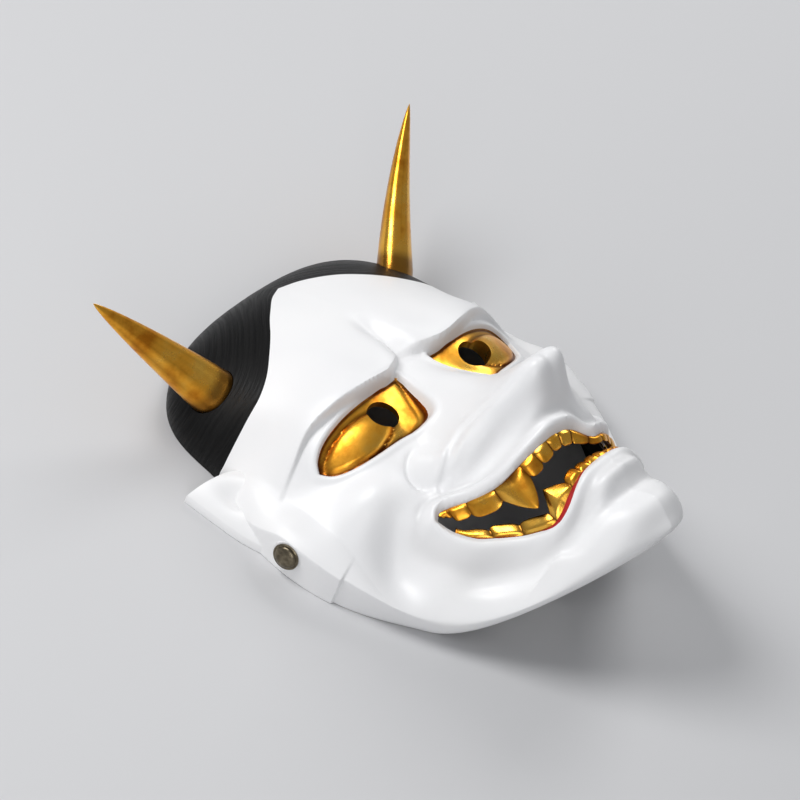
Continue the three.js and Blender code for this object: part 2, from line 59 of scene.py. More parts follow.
PUPIL_X, PUPIL_Y, PUPIL_RADIUS, PUPIL_SPLAY = 30.2, 30.2, 6.8, 13.0
MOUTH_CORNER = 48.5
LIP_DROOP = 9.5
RED_STRIP = 1.7
EYE_INNER, EYE_OUTER, EYE_DEPTH = 10.5, 62, 2.2
EYEBALL_X, EYEBALL_Y, EYEBALL_HALF_WIDTH, EYEBALL_HALF_HEIGHT, EYEBALL_RISE = 44, 28.2, 16, 8, 3.6
HORN_X, HORN_Y, HORN_LENGTH = 60.0, 91.0, 71.0
HORN_WIDTH, HORN_THICKNESS, HORN_BEND, HORN_FOOT = 20.5, 15.0, 1.5, 4.5
HORN_AIM = np.array([0.585, 0.6, 0.545])
HORN_SIDES, HORN_STEPS = 64, 60
FIT_GAP = 0.3
RIVET_Y, RIVET_Z, RIVET_CAP, RIVET_RISE = 18.0, 10.0, 11.6, 2.6
RIVET_BACK, RIVET_BACK_THICKNESS, RIVET_SHANK, RIVET_GRIP = 9.0, 1.2, 4.0, 3.6
RIVET_SIDES, PUPIL_SIDES = 64, 72
EAR_ROOT, EAR_TIP, EAR_INNER, EAR_CREST = 24.0, 66.5, 72.0, 16.0

# The row's origin lies under the middle of the object, so the face's own frame is moved along Y.
SHIFT_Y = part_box("mask_shell")[1][1] * 1000 - (MIDDLE_Y + CROWN)


def row(points):
    """Points of the face's frame in millimetres, as metres in the row's frame."""
    return (np.asarray(points, float) + (0.0, SHIFT_Y, 0.0)) / 1000


# Camera
CAMERA_TURN = np.array([-0.573629511, 0.584288976, 0.704625113])
CAMERA_SHIFT = np.array([20.14567904, -42.45645349, 0.0])
CAMERA_DISTANCE = 2500.0
FOCAL_PIXELS = 6105.7484
IMAGE_PIXELS = 800
SENSOR_WIDTH = 36

angle = np.linalg.norm(CAMERA_TURN)
world_to_camera = np.array(Matrix.Rotation(angle, 3, Vector(CAMERA_TURN / angle)))
position = world_to_camera.T @ (np.array([0, 0, CAMERA_DISTANCE]) - CAMERA_SHIFT)
camera_data = bpy.data.cameras.new("camera")
camera_data.sensor_width = SENSOR_WIDTH
camera_data.lens = FOCAL_PIXELS * SENSOR_WIDTH / IMAGE_PIXELS
camera_data.clip_end = 20
camera = bpy.data.objects.new("camera", camera_data)
bpy.context.scene.collection.objects.link(camera)
camera_to_world = Matrix(world_to_camera.T.tolist()).to_4x4()
camera.matrix_world = Matrix.Translation(Vector(row(position))) @ camera_to_world
bpy.context.scene.camera = camera


def step(low, high, value):
    """A smooth step from 0 at low to 1 at high."""
    t = np.clip((value - low) / (high - low), 0, 1)
    return t * t * (3 - 2 * t)


def bell(offset, width):
    """1 at no offset, fading over the width."""
    return np.exp(-((offset / width) ** 2))


def mound(dx, wx, dy, wy):
    return np.exp(-((dx / wx) ** 2) - (dy / wy) ** 2)


def hermite(places, values, x):
    """Smooth curve through values at places; values may hold one row for each x."""
    places = np.asarray(places, float)
    values = np.asarray(values, float)
    if values.ndim == 1:
        values = np.repeat(values[:, None], np.size(x), axis=1)
    x = np.asarray(x, float)
    flat = np.clip(x.ravel(), places[0], places[-1])
    last = len(places) - 1
    before = np.maximum(np.arange(last + 1) - 1, 0)
    after = np.minimum(np.arange(last + 1) + 1, last)
    slopes = (values[after] - values[before]) / (places[after] - places[before])[:, None]
    i = np.clip(np.searchsorted(places, flat, side="right") - 1, 0, last - 1)
    column = np.arange(flat.size)
    h = places[i + 1] - places[i]
    t = (flat - places[i]) / h
    result = (
        (2 * t**3 - 3 * t**2 + 1) * values[i, column]
        + (t**3 - 2 * t**2 + t) * h * slopes[i, column]
        + (3 * t**2 - 2 * t**3) * values[i + 1, column]
        + (t**3 - t**2) * h * slopes[i + 1, column]
    )
    return result.reshape(x.shape)


def curve(*pairs):
    """A smooth curve through pairs of a place and a value."""
    places = [p[0] for p in pairs]
    values = [p[1] for p in pairs]
    return lambda x: hermite(places, values, x)


# The upright wall and the flanks, by heading from -90 at the chin to 90 at the crown
wall_height = curve((-90, 17), (-65, 15), (-42, 12), (-18, 15), (2, 16), (12, 9), (24, 6), (38, 5), (90, 5))
wall_tuck = curve((-90, 9), (-65, 9), (-42, 6), (-20, 1), (0, 0.3), (90, 1))
flank_power = curve((-90, 9), (-70, 10), (-50, 9), (-30, 6), (-10, 4), (12, 4), (35, 5), (90, 5.5))
flank_root = curve((-90, 2.2), (-45, 2.2), (-15, 1.4), (12, 1.25), (40, 1.9), (90, 2.1))
# Heights of the face at each Y, at steps of 15 mm from the middle outwards
SECTION_STEP = 15
SECTIONS = {
    -92: (76, 71, 56, 36, 20, 10),
    -78: (78, 75, 60, 38, 20, 10),
    -64: (78, 75, 59, 36, 20, 10),
    -48: (77, 73, 55, 36, 22, 12),
    -30: (73, 71, 61, 42, 26, 15),
    -10: (60, 57, 49, 41, 33, 23),
    8: (50, 49, 46, 42, 37, 27),
    25: (48, 47, 48.5, 44, 36, 27),
    42: (48, 48, 48.5, 46, 41, 32),
    60: (50, 50, 48.5, 44, 38, 29),
    85: (46, 45.5, 43, 38.5, 32, 23),
    122: (36, 35, 33, 30, 25, 18),
}
# Lines and rises of the face by distance from the middle
brow_line = curve((0, 48), (9, 43.5), (20, 40.5), (30, 41.5), (46, 44), (58, 44.5), (68, 40), (80, 34))
brow_rise = curve((0, 1), (8, 5), (20, 7), (45, 6.5), (58, 5), (68, 2.5), (78, 0))
eye_top = curve((10.5, 40), (18, 39.6), (38, 40), (47, 39.6), (55, 38), (60, 34.8), (62, 31))
eye_bottom = curve(
    (10.5, 36), (13, 26), (16, 19), (20, 16.3), (34, 17.8), (47, 20), (54.5, 22.8), (59.5, 26.6), (62, 31),
)
lip_top = curve(
    (0, -33.4), (4, -32.6), (9, -31.6), (18, -30.8), (25, -30), (30, -29.2), (34, -26.6), (38, -22.4),
    (42, -18.4), (46, -16.4), (48.5, -18.5),
)
lip_bottom = curve(
    (0, -50), (12, -50.3), (18, -52), (25, -55.2), (28.5, -55), (32, -50.8), (36, -45.6), (40, -40.6),
    (44.5, -34.2), (47.5, -26), (48.5, -18.5),
)
hair_line = curve(
    (0, 109), (8, 106), (16, 101), (23, 96), (30, 90), (38, 83.5), (47, 76.5), (55, 72), (63, 69.5), (74, 66),
)
NOSTRIL_RIM = [(37.5, -10), (35.5, -7), (30, -3.2), (23, -1.5), (18, -3.5), (14.5, -7.5), (11, -9)]
# The nose along Y: its height, its half width, and the shape of a cut across it
nose_height = curve(
    (-40, 0), (-34, 3), (-27, 12), (-20, 26), (-13, 38), (-7, 40.5), (-1, 32.5), (5, 24), (11, 18),
    (17, 13.5), (25, 8.5), (33, 4), (42, 0),
)
nose_half = curve((-20, 36), (-7, 38), (5, 32), (17, 27), (31, 18), (42, 12))
nose_shape = curve((0, 1), (0.12, 0.988), (0.26, 0.9), (0.5, 0.6), (0.72, 0.34), (0.88, 0.11), (1, 0))
# Rises and hollows: height, middle and half width across, middle and half width along Y
NOSE_WING, WING_FOLD, TIP_SIDE = (6, 33.5, 5.5, -1, 8.5), (-2, 42, 4, -1, 9), (5, 8, 7.5, -12, 8)
NOSTRIL = (-9, 24, 9.5, -17, 5.5)
CHEEKBONE, HOLLOW_CHEEK, CHEEK_FOLD = (5, 60, 13, 6, 11), (-8, 63, 9, -17, 13), (3, 53, 4, -16, 10)
LIP_ROLL, CHIN_DIP, CHIN_BALL = (6, 0, 22, -59, 5.5), (-3, 0, 24, -67.5, 3.5), (4, 0, 22, -80, 7)


def form(across, y, shape):
    """A rise, or a hollow where the height is negative."""
    height, middle_across, half_across, middle_y, half_y = shape
    return height * mound(across - middle_across, half_across, y - middle_y, half_y)


def heading(angle):
    """The angle above the horizontal, the same on the left and on the right."""
    return np.degrees(np.arcsin(np.clip(np.sin(angle), -1, 1)))


def outline_radius(angle):
    """The rim's outline: broad above, narrowing to the chin, and drawn in at the temples."""
    up = np.sin(angle) > 0
    reach = np.where(up, CROWN, CHIN)
    power = np.where(up, 2.9, 1.7)
    across = np.abs(np.cos(angle)) / HALF_WIDTH
    along = np.abs(np.sin(angle)) / reach
    return (across**power + along**power) ** (-1 / power) - 10 * bell(heading(angle) - 31, 12)


def dome_height(across, y):
    """Height of the face before any carving."""
    places = np.arange(6) * SECTION_STEP
    rows = np.array([hermite(places, heights, across.ravel()) for heights in SECTIONS.values()])
    return hermite(list(SECTIONS), rows, y.ravel()).reshape(y.shape)


def squared_distance(line, x, y):
    """The square of the distance from an open line."""
    best = np.full(np.shape(x), 1e9)
    for (ax, ay), (bx, by) in zip(line[:-1], line[1:]):
        dx, dy = bx - ax, by - ay
        t = np.clip(((x - ax) * dx + (y - ay) * dy) / (dx * dx + dy * dy), 0, 1)
        best = np.minimum(best, (x - ax - t * dx) ** 2 + (y - ay - t * dy) ** 2)
    return best


def inside(loop, x, y, rough):
    """Distance in from a closed outline where the rough value is above zero, and out from it elsewhere."""
    loop = np.asarray(loop)
    start, along = loop, np.roll(loop, -1, axis=0) - loop
    square = np.maximum((along**2).sum(1), 1e-9)
    low, high = loop.min(0) - 9, loop.max(0) + 9
    near = (x > low[0]) & (x < high[0]) & (y > low[1]) & (y < high[1])
    px, py = x[near], y[near]
    best = np.full(px.shape, 1e9)
    for (ax, ay), (dx, dy), size in zip(start, along, square):
        t = np.clip(((px - ax) * dx + (py - ay) * dy) / size, 0, 1)
        best = np.minimum(best, (px - ax - t * dx) ** 2 + (py - ay - t * dy) ** 2)
    result = np.clip(rough, -20, 20).astype(float)
    result[near] = np.sqrt(best) * np.where(rough[near] > 0, 1, -1)
    return result


def between(x, y, first, last, top, bottom):
    """Above zero between two curves, and below zero elsewhere."""
    nearest = np.clip(x, first, last)
    inner = np.minimum(top(nearest) - y, y - bottom(nearest))
    return np.where(nearest == x, inner, -np.hypot(x - nearest, np.minimum(inner, 0)))


def loop_between(first, last, top, bottom, count):
    """The outline between two curves, with its points closer together at both ends."""
    x = (first + last) / 2 + (last - first) / 2 * np.sin(np.linspace(-math.pi / 2, math.pi / 2, count))
    return np.concatenate([np.stack([x, bottom(x)], 1), np.stack([x, top(x)], 1)[::-1]])


EYE_LOOP = loop_between(EYE_INNER, EYE_OUTER, eye_top, eye_bottom, 40)


def inside_eye(across, y):
    return inside(EYE_LOOP, across, y, between(across, y, EYE_INNER, EYE_OUTER, eye_top, eye_bottom))


def eyeball(across, y):
    """0 in the middle of the eyeball and 1 at its edge."""
    return np.hypot((across - EYEBALL_X) / EYEBALL_HALF_WIDTH, (y - EYEBALL_Y) / EYEBALL_HALF_HEIGHT)


def upper_lip(x):
    """The upper lip's edge: it is pulled up in a sneer on the right and hangs lower on the left."""
    return lip_top(np.abs(x)) - LIP_DROOP * step(-1, 10, x) * step(MOUTH_CORNER, 32, x)


def lower_lip(x):
    return lip_bottom(np.abs(x))


MOUTH_LOOP = loop_between(-MOUTH_CORNER, MOUTH_CORNER, upper_lip, lower_lip, 80)


def inside_mouth(x, y):
    return inside(MOUTH_LOOP, x, y, between(x, y, -MOUTH_CORNER, MOUTH_CORNER, upper_lip, lower_lip))


def carving(x, y, soft):
    """Brows, eyes, nose, cheeks, mouth and chin; the soft version is for the hollow side."""
    across = np.abs(x)
    blur = 3.0 if soft else 0.9
    relief = 0.4 if soft else 1.0
    # brows and the furrow between them
    above = y - brow_line(across)
    rise = relief * brow_rise(across) * step(-1.5 * blur, 1.5 * blur, above) * bell(np.maximum(above, 0), 15)
    rise -= 3.5 * bell(x, 5) * step(40, 50, y) * step(78, 60, y)
    # eyes, sunk behind their lids
    lid = inside_eye(across, y)
    rise -= EYE_DEPTH * step(-1.2 * blur, 0.8 * blur, lid)
    if not soft:
        ball = eyeball(across, y)
        rise += EYEBALL_RISE * np.sqrt(np.maximum(1 - ball**2, 0)) * step(0, 2.5, lid)
        rise -= 0.7 * bell(ball - 1.05, 0.1) * step(0, 2, lid)
        rise += 0.8 * bell(lid + 2, 1.2)
    # nose and cheeks
    share = np.minimum(across / nose_half(y), 1)
    rise += nose_height(y) * nose_shape(share) * (1 - 0.8 * step(-2, 3, lid))
    for shape in (NOSE_WING, WING_FOLD, TIP_SIDE):
        rise += relief * form(across, y, shape)
    for shape in (NOSTRIL, CHEEKBONE, HOLLOW_CHEEK, CHEEK_FOLD):
        rise += form(across, y, shape)
    # lips with the crease round them, the nose's wing and nostril rim, and the chin
    mouth = inside_mouth(x, y)
    rise += 3 * bell(mouth + 3.5, 3.5) * step(-60, -40, y)
    if not soft:
        rise += 1.6 * bell(mouth + 2.4, 1.8)
        rise -= 1.3 * bell(mouth + 6.8, 2.2)
        wing = np.hypot((across - 33) / 7.5, (y - 0.5) / 8)
        rise -= 1.7 * bell(wing - 1.2, 0.19) * step(30, 38, across)
        rim = np.sqrt(squared_distance(NOSTRIL_RIM, across, y))
        rise += (0.9 * bell(rim - 2.6, 1.6) * step(-12, -6, y) - 1.5 * bell(rim, 1.7)) * step(8, 15, across)
    rise -= 4 * bell(mouth + 10, 4.5) * step(-30, -46, y) * step(8, 22, across) * step(62, 46, across)
    for shape in (LIP_ROLL, CHIN_DIP, CHIN_BALL):
        rise += form(across, y, shape)
    return rise


def face_points(share, angle, soft=False):
    """The outer surface over a disc: share 0 is the middle and 1 the rim."""
    head = heading(angle)
    t = np.minimum(share / WALL_SHARE, 1)
    s = np.where(t < 0.6, t * 1.25, 0.75 + 0.25 * np.sin((t - 0.6) / 0.4 * math.pi / 2))
    down = np.clip((share - WALL_SHARE) / (1 - WALL_SHARE), 0, 1)
    edge = 1.5 if soft else 0.5
    plate_end = step(PLATE_EDGE - edge, PLATE_EDGE + edge, MIDDLE_Y + 88 * np.sin(angle))
    plate = PLATE_RISE * plate_end * step(28, 20, head)
    radius = outline_radius(angle) * s - wall_tuck(head) * down**2 + plate * step(0.88, 0.96, s)
    x = radius * np.cos(angle)
    y = MIDDLE_Y + radius * np.sin(angle)
    rim = CHIN_RIM_RISE * step(-44, -94, head)
    foot = rim + wall_height(head)
    dome = dome_height(np.abs(x), y)
    flank = (1 - np.minimum(s ** flank_power(head), 1)) ** (1 / flank_root(head))
    z = foot + np.maximum(dome - foot, 2 - 45 * (1 - s)) * flank + carving(x, y, soft) * step(0, 0.45, flank)
    z = np.where(share >= WALL_SHARE, foot - wall_height(head) * down, z)
    return np.stack([x, y, z], -1)


def square_points(u, v, soft=False):
    """The same surface over a square from -1 to 1 both ways."""
    a = u * np.sqrt(1 - v * v / 2)
    b = v * np.sqrt(1 - u * u / 2)
    return face_points(np.minimum(np.hypot(a, b), 1), np.arctan2(b, a), soft)


def face_height(x, y):
    """Height of the outer surface over each point, found by walking out along its angle."""
    x, y = np.atleast_1d(x).astype(float), np.atleast_1d(y).astype(float)
    angle = np.arctan2(y - MIDDLE_Y, x)
    wanted = np.hypot(x, y - MIDDLE_Y)
    low, high = np.zeros_like(wanted), np.full_like(wanted, WALL_SHARE)
    for _ in range(26):
        middle = (low + high) / 2
        p = face_points(middle, angle)
        short = np.hypot(p[..., 0], p[..., 1] - MIDDLE_Y) < wanted
        low, high = np.where(short, middle, low), np.where(short, high, middle)
    return face_points(low, angle)[..., 2]


def grid_faces(columns, rows):
    """Triangles of a sheet, with their diagonals running outwards in every quarter."""
    i, j = np.meshgrid(np.arange(columns), np.arange(rows))
    a = (j * (columns + 1) + i).ravel()
    b, c, d = a + 1, a + columns + 2, a + columns + 1
    flip = ((i < columns / 2) == (j < rows / 2)).ravel()[:, None]
    first = np.where(flip, np.stack([a, b, c], 1), np.stack([a, b, d], 1))
    second = np.where(flip, np.stack([a, c, d], 1), np.stack([b, c, d], 1))
    return np.concatenate([first, second])


def grid_edge(columns, rows):
    """The points round a sheet, in order."""
    at = lambda i, j: j * (columns + 1) + i
    edge = [at(i, 0) for i in range(columns)] + [at(columns, j) for j in range(rows)]
    edge += [at(i, rows) for i in range(columns, 0, -1)] + [at(0, j) for j in range(rows, 0, -1)]
    return np.array(edge)


def spread(count):
    """Places from -1 to 1, closer together in the middle, where the features are."""
    w = np.linspace(-1, 1, count + 1)
    return w * (0.86 + 0.14 * w * w)


def split_along(uv, faces, field):
    """Cuts the sheet's triangles where the field changes sign, for a clean edge of colour or form."""
    distance = field(square_points(*uv.T))
    distance = np.where(np.abs(distance) < 1e-4, 1e-4, distance)
    positive = distance[faces] > 0
    mixed = positive.any(1) & ~positive.all(1)
    cut, plus = faces[mixed], positive[mixed]
    odd_positive = plus.sum(1) == 1
    odd = np.where(odd_positive, plus.argmax(1), (~plus).argmax(1))
    turned = np.stack([cut[np.arange(len(cut)), (odd + k) % 3] for k in range(3)], 1)
    a, b, c = turned.T
    ends = np.concatenate([np.stack([a, b], 1), np.stack([a, c], 1)])
    unique, index = np.unique(np.sort(ends, axis=1), axis=0, return_inverse=True)
    index = index.ravel()
    start, end = uv[unique[:, 0]], uv[unique[:, 1]]
    low, high = np.zeros(len(unique)), np.ones(len(unique))
    d_low, d_high = distance[unique[:, 0]], distance[unique[:, 1]]
    for _ in range(4):
        share = low + (high - low) * np.clip(d_low / (d_low - d_high), 0.02, 0.98)
        fresh = start + share[:, None] * (end - start)
        found = field(square_points(*fresh.T))
        same = (found > 0) == (d_low > 0)
        low, d_low = np.where(same, share, low), np.where(same, found, d_low)
        high, d_high = np.where(same, high, share), np.where(same, d_high, found)
    p = len(uv) + index[: len(cut)]
    q = len(uv) + index[len(cut):]
    made = np.concatenate([np.stack([a, p, q], 1), np.stack([p, b, c], 1), np.stack([p, c, q], 1)])
    return np.concatenate([uv, fresh]), np.concatenate([faces[~mixed], made])


def new_object(name, points, faces, paints, index=None):
    mesh = bpy.data.meshes.new(name)
    mesh.from_pydata(row(points).tolist(), [], faces.tolist() if isinstance(faces, np.ndarray) else faces)
    for paint in paints:
        mesh.materials.append(paint)
    if index is not None:
        mesh.polygons.foreach_set("material_index", np.asarray(index, dtype=np.int32))
    mesh.polygons.foreach_set("use_smooth", np.ones(len(mesh.polygons), bool))
    mesh.update()
    made = bpy.data.objects.new(name, mesh)
    bpy.context.scene.collection.objects.link(made)
    return made


def store(target, name, values):
    """Keeps one number, or one vector, for each point of the mesh, for the materials to read."""
    kind, key = ("FLOAT", "value") if np.ndim(values) == 1 else ("FLOAT_VECTOR", "vector")
    layer = target.data.attributes.new(name, kind, "POINT")
    layer.data.foreach_set(key, np.asarray(values, dtype=np.float32).ravel())


def combine(target, tool, operation):
    """Applies a boolean of tool on target and removes the tool."""
    modifier = target.modifiers.new("cut", "BOOLEAN")
    modifier.operation = operation
    modifier.solver = "MANIFOLD"
    modifier.object = tool
    bpy.context.view_layer.update()
    graph = bpy.context.evaluated_depsgraph_get()
    cut = target.evaluated_get(graph)
    made = bpy.data.meshes.new_from_object(cut, preserve_all_data_layers=True, depsgraph=graph)
    target.modifiers.clear()
    old = target.data
    target.data = made
    made.name = old.name
    bpy.data.meshes.remove(old)
    tool_mesh = tool.data
    bpy.data.objects.remove(tool)
    bpy.data.meshes.remove(tool_mesh)


def turn_faces_out(target):
    mesh = bmesh.new()
    mesh.from_mesh(target.data)
    bmesh.ops.recalc_face_normals(mesh, faces=mesh.faces)
    mesh.to_mesh(target.data)
    mesh.free()


def frame_at(origin, direction, sideways):
    """A place, and three axes as rows: Z along the direction and X as near to sideways as it can be."""
    z = np.array(direction, float)
    z /= np.linalg.norm(z)
    x = np.array(sideways, float) - np.dot(sideways, z) * z
    x /= np.linalg.norm(x)
    return np.array(origin, float), np.stack([x, np.cross(z, x), z])


def rings(sections):
    """Faces between equal rings of points, with a flat face over each end."""
    count, sides = sections.shape[:2]
    points = sections.reshape(-1, 3)
    faces = []
    for j in range(count - 1):
        for i in range(sides):
            a, b = j * sides + i, j * sides + (i + 1) % sides
            faces.append((a, b, b + sides, a + sides))
    faces.append(tuple(range(sides - 1, -1, -1)))
    faces.append(tuple(range((count - 1) * sides, count * sides)))
    return points, faces


def material(name, colour, roughness, metallic=0.0):
    made = bpy.data.materials.new(name)
    made.use_nodes = True
    shader = made.node_tree.nodes["Principled BSDF"]
    shader.inputs["Base Color"].default_value = (*colour, 1)
    shader.inputs["Roughness"].default_value = roughness
    shader.inputs["Metallic"].default_value = metallic
    made.diffuse_color = (*colour, 1)
    return made, made.node_tree, shader


def add_noise(tree, scale, detail=4.0, roughness=0.55, stretch=(1, 1, 1), place=None):
    """Noise over the object's own coordinates, or over another vector where one is given."""
    if place is None:
        place = tree.nodes.new("ShaderNodeTexCoord").outputs["Object"]
    mapping = tree.nodes.new("ShaderNodeMapping")
    mapping.inputs["Scale"].default_value = stretch
    noise = tree.nodes.new("ShaderNodeTexNoise")
    noise.inputs["Scale"].default_value = scale
    noise.inputs["Detail"].default_value = detail
    noise.inputs["Roughness"].default_value = roughness
    tree.links.new(place, mapping.inputs["Vector"])
    tree.links.new(mapping.outputs["Vector"], noise.inputs["Vector"])
    return noise


def add_ramp(tree, source, stops):
    ramp = tree.nodes.new("ShaderNodeValToRGB")
    elements = ramp.color_ramp.elements
    while len(elements) < len(stops):
        elements.new(0.5)
    for element, (place, colour) in zip(elements, stops):
        element.position = place
        element.color = (*colour, 1)
    tree.links.new(source, ramp.inputs["Fac"])
    return ramp


def add_range(tree, source, low, high, to_low, to_high):
    node = tree.nodes.new("ShaderNodeMapRange")
    for name, value in zip(("From Min", "From Max", "To Min", "To Max"), (low, high, to_low, to_high)):
        node.inputs[name].default_value = value
    tree.links.new(source, node.inputs["Value"])
    return node


def add_bump(tree, shader, height, strength, distance, normal=None):
    bump = tree.nodes.new("ShaderNodeBump")
    bump.inputs["Strength"].default_value = strength
    bump.inputs["Distance"].default_value = distance
    tree.links.new(height, bump.inputs["Height"])
    if normal is not None:
        tree.links.new(normal, bump.inputs["Normal"])
    tree.links.new(bump.outputs["Normal"], shader.inputs["Normal"])
    return bump


def add_attribute(tree, name):
    node = tree.nodes.new("ShaderNodeAttribute")
    node.attribute_name = name
    return node


def mix_colour(tree, shader, fac, first, second_colour, strength=1.0):
    """Blends the base colour towards a second one where the factor is high."""
    mix = tree.nodes.new("ShaderNodeMix")
    mix.data_type = "RGBA"
    scaled = tree.nodes.new("ShaderNodeMath")
    scaled.operation = "MULTIPLY"
    scaled.inputs[1].default_value = strength
    tree.links.new(fac, scaled.inputs[0])
    tree.links.new(scaled.outputs[0], mix.inputs["Factor"])
    tree.links.new(first, mix.inputs["A"])
    mix.inputs["B"].default_value = (*second_colour, 1)
    tree.links.new(mix.outputs["Result"], shader.inputs["Base Color"])


def white_paint():
    made, tree, shader = material("white_satin_paint", (0.86, 0.86, 0.865), 0.4)
    broad = add_noise(tree, 14, 3)
    colour = add_ramp(tree, broad.outputs["Fac"], [(0.3, (0.83, 0.83, 0.84)), (0.7, (0.885, 0.88, 0.88))])
    # painted shade: the white greys where the mesh's attribute of crease shade is high
    painted_crease_shade = add_attribute(tree, "painted_crease_shade")
    mix_colour(tree, shader, painted_crease_shade.outputs["Fac"], colour.outputs["Color"], (0.42, 0.41, 0.41), 0.5)
    fine = add_noise(tree, 420, 3)
    gloss = add_range(tree, broad.outputs["Fac"], 0.3, 0.7, 0.36, 0.46)
    tree.links.new(gloss.outputs["Result"], shader.inputs["Roughness"])
    first = add_bump(tree, shader, fine.outputs["Fac"], 0.10, 0.0003)
    swell = add_noise(tree, 60, 2)
    add_bump(tree, shader, swell.outputs["Fac"], 0.12, 0.0008, first.outputs["Normal"])
    return made


def gold_paint(name, roughness):
    """Brushed gold, darkened to brown as painted shade where a point attribute of the mesh says."""
    made, tree, shader = material(name, (0.9, 0.5, 0.09), roughness, 1.0)
    cloud = add_noise(tree, 55, 5, 0.6)
    stops = [(0.32, (0.56, 0.19, 0.012)), (0.47, (0.92, 0.43, 0.042)), (0.7, (1.0, 0.6, 0.11))]
    colour = add_ramp(tree, cloud.outputs["Fac"], stops)
    # painted shade: the gold turns dark brown where the mesh's attribute of shade is high
    painted_shade = add_attribute(tree, "painted_shade")
    mix_colour(tree, shader, painted_shade.outputs["Fac"], colour.outputs["Color"], (0.12, 0.026, 0.006), 0.95)
    gloss = add_range(tree, cloud.outputs["Fac"], 0.3, 0.7, roughness + 0.1, roughness - 0.06)
    tree.links.new(gloss.outputs["Result"], shader.inputs["Roughness"])
    brushed = add_noise(tree, 300, 4, 0.6)
    first = add_bump(tree, shader, brushed.outputs["Fac"], 0.25, 0.0003)
    uneven = add_noise(tree, 90, 2)
    add_bump(tree, shader, uneven.outputs["Fac"], 0.22, 0.0008, first.outputs["Normal"])
    return made


def hair_paint():
    made, tree, shader = material("black_hair_paint", (0.008, 0.008, 0.009), 0.42)
    shader.inputs["Specular IOR Level"].default_value = 0.14
    combed = add_attribute(tree, "combed")
    strands = add_noise(tree, 300, 5, 0.6, (3.0, 0.06, 0.3), combed.outputs["Vector"])
    stops = [(0.35, (0.002, 0.002, 0.0022)), (0.7, (0.010, 0.0097, 0.0097))]
    colour = add_ramp(tree, strands.outputs["Fac"], stops)
    tree.links.new(colour.outputs["Color"], shader.inputs["Base Color"])
    gloss = add_range(tree, strands.outputs["Fac"], 0.3, 0.7, 0.5, 0.34)
    tree.links.new(gloss.outputs["Result"], shader.inputs["Roughness"])
    add_bump(tree, shader, strands.outputs["Fac"], 0.5, 0.0008)
    return made


def lip_paint():
    made, tree, shader = material("red_lip_paint", (0.42, 0.015, 0.02), 0.35)
    cloud = add_noise(tree, 120, 3)
    colour = add_ramp(tree, cloud.outputs["Fac"], [(0.3, (0.30, 0.008, 0.012)), (0.7, (0.50, 0.02, 0.025))])
    tree.links.new(colour.outputs["Color"], shader.inputs["Base Color"])
    add_bump(tree, shader, cloud.outputs["Fac"], 0.2, 0.0003)
    return made


def inside_paint():
    made, tree, shader = material("dark_inside", (0.012, 0.011, 0.011), 0.8)
    shader.inputs["Specular IOR Level"].default_value = 0.15
    cloud = add_noise(tree, 80, 6, 0.65)
    stops = [(0.3, (0.004, 0.004, 0.004)), (0.7, (0.014, 0.013, 0.012))]
    colour = add_ramp(tree, cloud.outputs["Fac"], stops)
    tree.links.new(colour.outputs["Color"], shader.inputs["Base Color"])
    add_bump(tree, shader, cloud.outputs["Fac"], 0.5, 0.001)
    return made


def bronze():
    made, tree, shader = material("antique_bronze", (0.16, 0.13, 0.09), 0.34, 1.0)
    cloud = add_noise(tree, 350, 4)
    colour = add_ramp(tree, cloud.outputs["Fac"], [(0.3, (0.09, 0.075, 0.055)), (0.75, (0.26, 0.22, 0.15))])
    tree.links.new(colour.outputs["Color"], shader.inputs["Base Color"])
    gloss = add_range(tree, cloud.outputs["Fac"], 0.3, 0.7, 0.42, 0.26)
    tree.links.new(gloss.outputs["Result"], shader.inputs["Roughness"])
    add_bump(tree, shader, cloud.outputs["Fac"], 0.15, 0.0002)
    return made


WHITE, HAIR, GOLD, RED, INSIDE = range(5)
SHELL_PAINTS = [white_paint(), hair_paint(), gold_paint("gold_paint", 0.3), lip_paint(), inside_paint()]
BRONZE = bronze()
TOOTH_GOLD = gold_paint("tooth_gold_paint", 0.26)
HORN_GOLD = gold_paint("horn_gold_paint", 0.27)

# The cast face
COLUMNS, ROWS = ((240, 256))
# The grid is cut along the brow and the lid where their steps start, cross and end
BROW_CUTS, LID_CUTS = (-1.35, 0, 1.35), (-1.08, 0, 0.72)


def red_strip(x, y):
    """Above zero on the thin red edge of the lower lip."""
    width = RED_STRIP * step(2, 24, np.abs(x)) * step(31, 27, np.abs(x))
    return inside_mouth(x, y) + width - 0.02 - 20 * step(-44, -42, y)


def outer_sheet():
    """The outer surface in its paints, closed by a flat fan at the rim."""
    u, v = np.meshgrid(spread(COLUMNS), spread(ROWS))
    uv = np.stack([u.ravel(), v.ravel()], 1)
    faces = grid_faces(COLUMNS, ROWS)
    eye = lambda p: inside_eye(np.abs(p[:, 0]), p[:, 1])
    hair = lambda p: p[:, 1] - hair_line(np.abs(p[:, 0]))
    brow = lambda p: p[:, 1] - brow_line(np.abs(p[:, 0]))
    for offset in BROW_CUTS:
        uv, faces = split_along(uv, faces, lambda p: brow(p) - offset)
    for offset in LID_CUTS:
        uv, faces = split_along(uv, faces, lambda p: eye(p) - offset)
    uv, faces = split_along(uv, faces, hair)
    red = lambda p: red_strip(p[:, 0], p[:, 1])
    uv, faces = split_along(uv, faces, red)
    points = square_points(*uv.T)
    centres = points[faces].mean(1)
    index = np.full(len(faces), WHITE)
    index[hair(centres) > 0] = HAIR
    index[eye(centres) > 0] = GOLD
    index[red(centres) > 0] = RED
    tip = len(points)
    points = np.concatenate([points, [[0, MIDDLE_Y, 0]]])
    # the hairline may have split the rim's edge, so its ring is read from the open edges
    ring = open_edges(faces)
    fan = np.stack([ring[:, 1], ring[:, 0], np.full(len(ring), tip)], 1)
    index = np.concatenate([index, np.full(len(fan), INSIDE)])
    return new_object("mask_face", points, np.concatenate([faces, fan]), SHELL_PAINTS, index)


